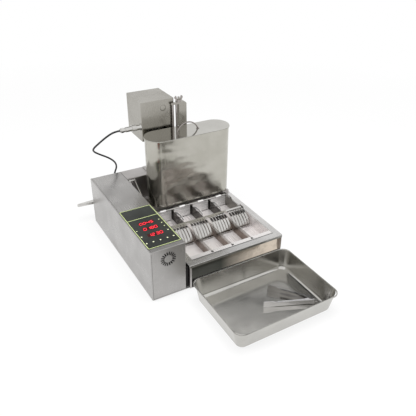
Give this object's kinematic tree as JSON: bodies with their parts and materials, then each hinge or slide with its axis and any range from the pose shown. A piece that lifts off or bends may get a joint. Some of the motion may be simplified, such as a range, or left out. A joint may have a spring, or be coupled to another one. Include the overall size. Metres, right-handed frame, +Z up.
{
  "type": "donut maker",
  "caption": "Countertop mini donut fryer: dough hopper with dosing head over an oil tank with lanes, flipping comb, pusher, side control box, lever drain valve, tray and serving tongs",
  "frame": {"origin": "middle of the whole set, cable left out, on the surface it stands on", "axes": "+X to the right along the front, +Y to the back, +Z up"},
  "size_m": [0.5934, 0.987, 0.5133],
  "materials": {
    "steel_brushed": "brushed stainless sheet",
    "steel_polished": "polished stainless",
    "panel_black": "printed overlay",
    "display_red": "smoked red window",
    "lamp_green": "indicator lens",
    "plastic_black": "moulded",
    "board_green": "circuit board",
    "rubber_black": "soft rubber",
    "brass_nickel": "nickel-plated brass",
    "motor_grey": "painted gear motor",
    "insulation_black": "fibre insulation",
    "key_grey": "key cap"
  },
  "bodies": {
    "machine": {"control_box_shell": "steel_brushed", "base_plate": "steel_brushed", "rear_housing": "steel_brushed", "rubber_feet": "rubber_black", "power_inlet": "plastic_black", "cable_gland": "brass_nickel", "motor_cable": "rubber_black", "cable_connector": "steel_polished", "control_panel": "panel_black", "led_displays": "display_red", "indicator_lamps": "lamp_green", "control_board": "board_green", "fan_frame": "plastic_black", "gap_insulation": "insulation_black", "side_panel_right": "steel_brushed", "side_panel_left": "steel_brushed", "deck_frame": "steel_brushed", "floor_pan": "steel_brushed", "oil_tank": "steel_brushed", "heating_element": "motor_grey", "lane_dividers": "steel_brushed", "bearing_plates": "steel_brushed", "drain_valve": "brass_nickel", "hopper": "steel_brushed", "hopper_brackets": "steel_brushed", "nozzles": "steel_brushed", "motor_box": "steel_brushed", "motor_box_cover": "steel_brushed", "gear_motor": "motor_grey", "motor_column": "steel_brushed", "slide_guide": "steel_brushed", "case_screws": "steel_polished", "drive_motors": "motor_grey"},
    "lid": {"hopper_lid": "steel_polished", "lid_handle": "steel_polished"},
    "doser": {"slide_head": "steel_polished", "push_rods": "steel_polished", "cutter_yoke": "steel_polished"},
    "wing_nut": {"wing_nut": "steel_polished"},
    "comb": {"comb_shaft": "steel_polished", "comb_tines": "steel_polished"},
    "crank": {"pusher_crank": "steel_polished"},
    "pusher": {"pusher_rod": "steel_polished", "pusher_blades": "steel_polished"},
    "link": {"pusher_link": "steel_polished"},
    "lever": {"drain_lever": "steel_polished"},
    "fan": {"fan_rotor": "plastic_black"},
    "tray": {"tray": "steel_polished"},
    "tongs": {"tongs_arm_right": "steel_polished", "tongs_pin": "steel_polished"},
    "tongs_inner_arm": {"tongs_arm_left": "steel_polished"},
    "tongs_ring": {"tongs_lock_ring": "steel_polished"},
    "key_1": {"key_1": "key_grey"},
    "key_2": {"key_2": "key_grey"},
    "key_3": {"key_3": "key_grey"},
    "key_4": {"key_4": "key_grey"},
    "key_5": {"key_5": "key_grey"},
    "key_6": {"key_6": "key_grey"},
    "key_7": {"key_7": "key_grey"}
  },
  "joints": [
    {"name": "lid_lift", "type": "slide", "parent": "machine", "child": "lid", "axis": [0, 0, 1], "range_m": [0, 0.25]},
    {"name": "dosing_slide", "type": "slide", "parent": "machine", "child": "doser", "axis": [0, 0, 1], "range_m": [0, 0.01]},
    {"name": "wing_nut_turn", "type": "hinge", "parent": "doser", "child": "wing_nut", "pos_m": [0.11245, 0.326, 0.4893], "axis": [0, 0, 1], "continuous": true},
    {"name": "comb_flip", "type": "hinge", "parent": "machine", "child": "comb", "pos_m": [0.06425, 0.0735, 0.106], "axis": [-1, 0, 0], "range_deg": [0, 230]},
    {"name": "crank_turn", "type": "hinge", "parent": "machine", "child": "crank", "pos_m": [-0.11245, 0.32159, 0.18993], "axis": [1, 0, 0], "range_deg": [0, 180]},
    {"name": "pusher_slide", "type": "slide", "parent": "machine", "child": "pusher", "axis": [0, -1, 0], "range_m": [0, 0.03001]},
    {"name": "link_swing", "type": "hinge", "parent": "pusher", "child": "link", "pos_m": [-0.08875, 0.1935, 0.107], "axis": [-1, 0, 0], "range_deg": [0, 5.7]},
    {"name": "drain_lever_turn", "type": "hinge", "parent": "machine", "child": "lever", "pos_m": [-0.19075, 0.4535, 0.07], "axis": [0, 0, -1], "range_deg": [0, 90]},
    {"name": "fan_spin", "type": "hinge", "parent": "machine", "child": "fan", "pos_m": [-0.17575, -0.14, 0.156], "axis": [0, 1, 0], "continuous": true},
    {"name": "tray_slide", "type": "slide", "parent": "machine", "child": "tray", "axis": [0, -1, 0], "range_m": [0, 0.2]},
    {"name": "tongs_lift", "type": "slide", "parent": "tray", "child": "tongs", "axis": [0, 0, 1], "range_m": [0, 0.15]},
    {"name": "tongs_close", "type": "hinge", "parent": "tongs", "child": "tongs_inner_arm", "pos_m": [0.22225, -0.4175, 0.0015], "axis": [0, 0, -1], "range_deg": [-6, 22]},
    {"name": "tongs_ring_slide", "type": "slide", "parent": "tongs", "child": "tongs_ring", "axis": [0.8002, -0.5997, 0], "range_m": [0, 0.006]},
    {"name": "key_1_press", "type": "slide", "parent": "machine", "child": "key_1", "axis": [0, 0, -1], "range_m": [0, 0.0006], "stiffness_N_per_m": 400},
    {"name": "key_2_press", "type": "slide", "parent": "machine", "child": "key_2", "axis": [0, 0, -1], "range_m": [0, 0.0006], "stiffness_N_per_m": 400},
    {"name": "key_3_press", "type": "slide", "parent": "machine", "child": "key_3", "axis": [0, 0, -1], "range_m": [0, 0.0006], "stiffness_N_per_m": 400},
    {"name": "key_4_press", "type": "slide", "parent": "machine", "child": "key_4", "axis": [0, 0, -1], "range_m": [0, 0.0006], "stiffness_N_per_m": 400},
    {"name": "key_5_press", "type": "slide", "parent": "machine", "child": "key_5", "axis": [0, 0, -1], "range_m": [0, 0.0006], "stiffness_N_per_m": 400},
    {"name": "key_6_press", "type": "slide", "parent": "machine", "child": "key_6", "axis": [0, 0, -1], "range_m": [0, 0.0006], "stiffness_N_per_m": 400},
    {"name": "key_7_press", "type": "slide", "parent": "machine", "child": "key_7", "axis": [0, 0, -1], "range_m": [0, 0.0006], "stiffness_N_per_m": 400}
  ],
  "couplings": [
    {"joint": "crank_turn", "follows": "pusher_slide", "rad_per_m": 104.67},
    {"joint": "link_swing", "follows": "pusher_slide", "rad_per_m": 3.2874}
  ]
}
